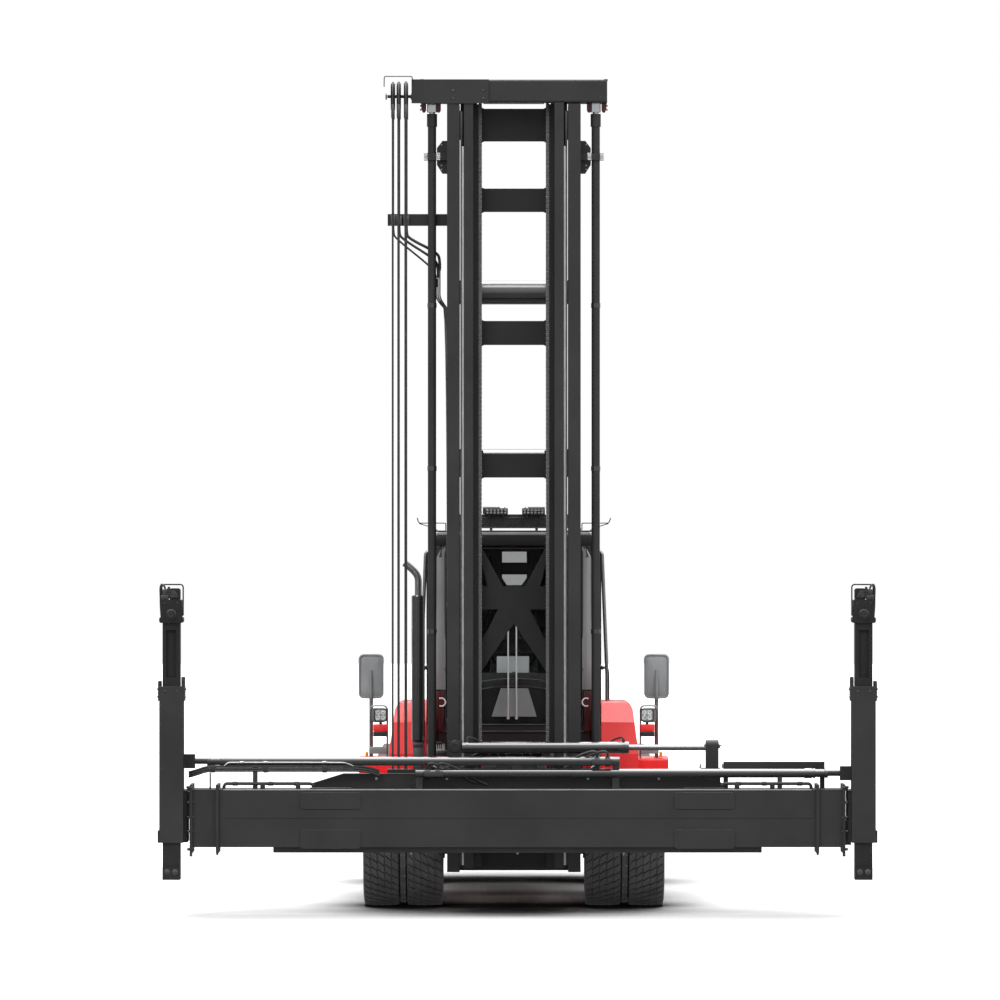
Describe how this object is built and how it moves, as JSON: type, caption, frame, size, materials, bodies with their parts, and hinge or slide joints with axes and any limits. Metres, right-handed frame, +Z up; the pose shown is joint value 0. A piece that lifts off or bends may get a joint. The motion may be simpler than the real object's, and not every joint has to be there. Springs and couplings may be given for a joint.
{
  "type": "empty container handler",
  "caption": "Counterbalanced truck with a tall two-stage mast and a side-lift telescopic spreader for lifting empty shipping containers",
  "frame": {"origin": "ground point under the middle of the bounding box", "axes": "+Z up, the machine faces -Y, +X is its own left side"},
  "size_m": [6.085, 6.825, 7.1328],
  "materials": {
    "body_red": "gloss enamel",
    "mast_black": "satin enamel",
    "chassis_dark": "satin enamel",
    "weight_paint": "textured enamel on cast iron",
    "tyre_rubber": "worn tread",
    "rim_paint": "satin enamel",
    "mirror_grey": "moulded",
    "cab_glass": "clear safety glass",
    "seat_cloth": "woven seat cloth",
    "trim_plastic": "moulded",
    "rod_chrome": "hard chrome",
    "engine_grey": "painted casting",
    "chain_steel": "oiled leaf chain",
    "hose_rubber": "smooth"
  },
  "bodies": {
    "root": {"chassis_frame": "body_red", "deck_plate": "chassis_dark", "mirrors": "mirror_grey", "drive_axle": "chassis_dark", "steer_axle": "chassis_dark", "counterweight": "weight_paint", "engine_and_radiator": "engine_grey", "cab_shell": "chassis_dark", "cab_glass": "cab_glass", "operator_seat": "seat_cloth", "steering_console": "trim_plastic", "roof_guard": "chassis_dark", "exhaust_stack": "chassis_dark", "handrails": "mast_black", "lamp_posts": "trim_plastic", "side_tank_left": "chassis_dark", "side_tank_right": "chassis_dark", "fender_left": "body_red", "fender_right": "body_red"},
    "hood": {"engine_hood": "body_red"},
    "outer_mast": {"outer_rail_left": "mast_black", "outer_rail_right": "mast_black", "outer_crossbars": "mast_black", "lift_barrels": "mast_black"},
    "inner_mast": {"inner_rail_left": "mast_black", "inner_rail_right": "mast_black", "inner_crossbars": "mast_black", "inner_brace": "mast_black", "mast_header": "mast_black", "lift_rods": "rod_chrome", "lift_chains": "chain_steel", "mast_hoses": "hose_rubber"},
    "carriage": {"carriage": "mast_black", "shift_barrel": "mast_black"},
    "spreader": {"spreader_frame": "mast_black", "arm_barrel_left": "mast_black", "arm_barrel_right": "mast_black"},
    "door_left": {"cab_door_left": "mast_black", "door_glass_left": "cab_glass"},
    "front_wheel_left": {"front_tyres_left": "tyre_rubber", "front_rim_left": "rim_paint"},
    "knuckle_left": {"knuckle_left": "chassis_dark"},
    "rear_wheel_left": {"rear_tyre_left": "tyre_rubber", "rear_rim_left": "rim_paint"},
    "telescope_left": {"telescope_left": "mast_black"},
    "column_left": {"lock_column_left": "mast_black"},
    "tilt_barrel_left": {"tilt_barrel_left": "mast_black"},
    "tilt_rod_left": {"tilt_rod_left": "rod_chrome"},
    "door_right": {"cab_door_right": "mast_black", "door_glass_right": "cab_glass"},
    "front_wheel_right": {"front_tyres_right": "tyre_rubber", "front_rim_right": "rim_paint"},
    "knuckle_right": {"knuckle_right": "chassis_dark"},
    "rear_wheel_right": {"rear_tyre_right": "tyre_rubber", "rear_rim_right": "rim_paint"},
    "telescope_right": {"telescope_right": "mast_black"},
    "column_right": {"lock_column_right": "mast_black"},
    "tilt_barrel_right": {"tilt_barrel_right": "mast_black"},
    "tilt_rod_right": {"tilt_rod_right": "rod_chrome"}
  },
  "joints": [
    {"name": "front_wheel_spin_left", "type": "hinge", "parent": "root", "child": "front_wheel_left", "pos_m": [0.772, -1.4875, 0.56], "axis": [1, 0, 0], "continuous": true},
    {"name": "steer_left", "type": "hinge", "parent": "root", "child": "knuckle_left", "pos_m": [0.86, 2.2625, 0.56], "axis": [0, 0, 1], "range_deg": [-55, 55]},
    {"name": "rear_wheel_spin_left", "type": "hinge", "parent": "knuckle_left", "child": "rear_wheel_left", "pos_m": [1.06, 2.2625, 0.56], "axis": [1, 0, 0], "continuous": true},
    {"name": "door_hinge_left", "type": "hinge", "parent": "root", "child": "door_left", "pos_m": [0.752, 0.0425, 1.49], "axis": [0, 0, 1], "range_deg": [0, 90]},
    {"name": "front_wheel_spin_right", "type": "hinge", "parent": "root", "child": "front_wheel_right", "pos_m": [-0.772, -1.4875, 0.56], "axis": [1, 0, 0], "continuous": true},
    {"name": "steer_right", "type": "hinge", "parent": "root", "child": "knuckle_right", "pos_m": [-0.86, 2.2625, 0.56], "axis": [0, 0, 1], "range_deg": [-55, 55]},
    {"name": "rear_wheel_spin_right", "type": "hinge", "parent": "knuckle_right", "child": "rear_wheel_right", "pos_m": [-1.06, 2.2625, 0.56], "axis": [1, 0, 0], "continuous": true},
    {"name": "door_hinge_right", "type": "hinge", "parent": "root", "child": "door_right", "pos_m": [-0.752, 0.0425, 1.49], "axis": [0, 0, -1], "range_deg": [0, 90]},
    {"name": "hood_hinge", "type": "hinge", "parent": "root", "child": "hood", "pos_m": [0, 0.5925, 1.908], "axis": [1, 0, 0], "range_deg": [0, 60]},
    {"name": "mast_tilt", "type": "hinge", "parent": "root", "child": "outer_mast", "pos_m": [0, -2.0275, 0.64], "axis": [-1, 0, 0], "range_deg": [-3, 5]},
    {"name": "mast_lift", "type": "slide", "parent": "outer_mast", "child": "inner_mast", "axis": [0, 0, 1], "range_m": [0, 5.2]},
    {"name": "carriage_lift", "type": "slide", "parent": "inner_mast", "child": "carriage", "axis": [0, 0, 1], "range_m": [0, 5.2]},
    {"name": "side_shift", "type": "slide", "parent": "carriage", "child": "spreader", "axis": [1, 0, 0], "range_m": [-0.33, 0.268]},
    {"name": "arm_left", "type": "slide", "parent": "spreader", "child": "telescope_left", "axis": [1, 0, 0], "range_m": [0, 3.048]},
    {"name": "arm_right", "type": "slide", "parent": "spreader", "child": "telescope_right", "axis": [-1, 0, 0], "range_m": [0, 3.048]},
    {"name": "column_slide_left", "type": "slide", "parent": "telescope_left", "child": "column_left", "axis": [0, 0, 1], "range_m": [-0.15, 0.195]},
    {"name": "column_slide_right", "type": "slide", "parent": "telescope_right", "child": "column_right", "axis": [0, 0, 1], "range_m": [-0.15, 0.195]},
    {"name": "tilt_swing_left", "type": "hinge", "parent": "root", "child": "tilt_barrel_left", "pos_m": [0.52, -0.7275, 1.13], "axis": [1, 0, 0], "range_deg": [-1.09, 0.77]},
    {"name": "tilt_stroke_left", "type": "slide", "parent": "tilt_barrel_left", "child": "tilt_rod_left", "axis": [0, -0.9783, 0.2071], "range_m": [-0.0696, 0.0433]},
    {"name": "tilt_swing_right", "type": "hinge", "parent": "root", "child": "tilt_barrel_right", "pos_m": [-0.52, -0.7275, 1.13], "axis": [1, 0, 0], "range_deg": [-1.09, 0.77]},
    {"name": "tilt_stroke_right", "type": "slide", "parent": "tilt_barrel_right", "child": "tilt_rod_right", "axis": [0, -0.9783, 0.2071], "range_m": [-0.0696, 0.0433]}
  ],
  "couplings": [
    {"joint": "steer_right", "follows": "steer_left", "ratio": 1},
    {"joint": "carriage_lift", "follows": "mast_lift", "ratio": 1},
    {"joint": "arm_right", "follows": "arm_left", "ratio": 1},
    {"joint": "tilt_swing_left", "follows": "mast_tilt", "ratio": -0.15732},
    {"joint": "tilt_stroke_left", "follows": "mast_tilt", "m_per_rad": -0.75152},
    {"joint": "tilt_swing_right", "follows": "mast_tilt", "ratio": -0.15732},
    {"joint": "tilt_stroke_right", "follows": "mast_tilt", "m_per_rad": -0.75152}
  ]
}
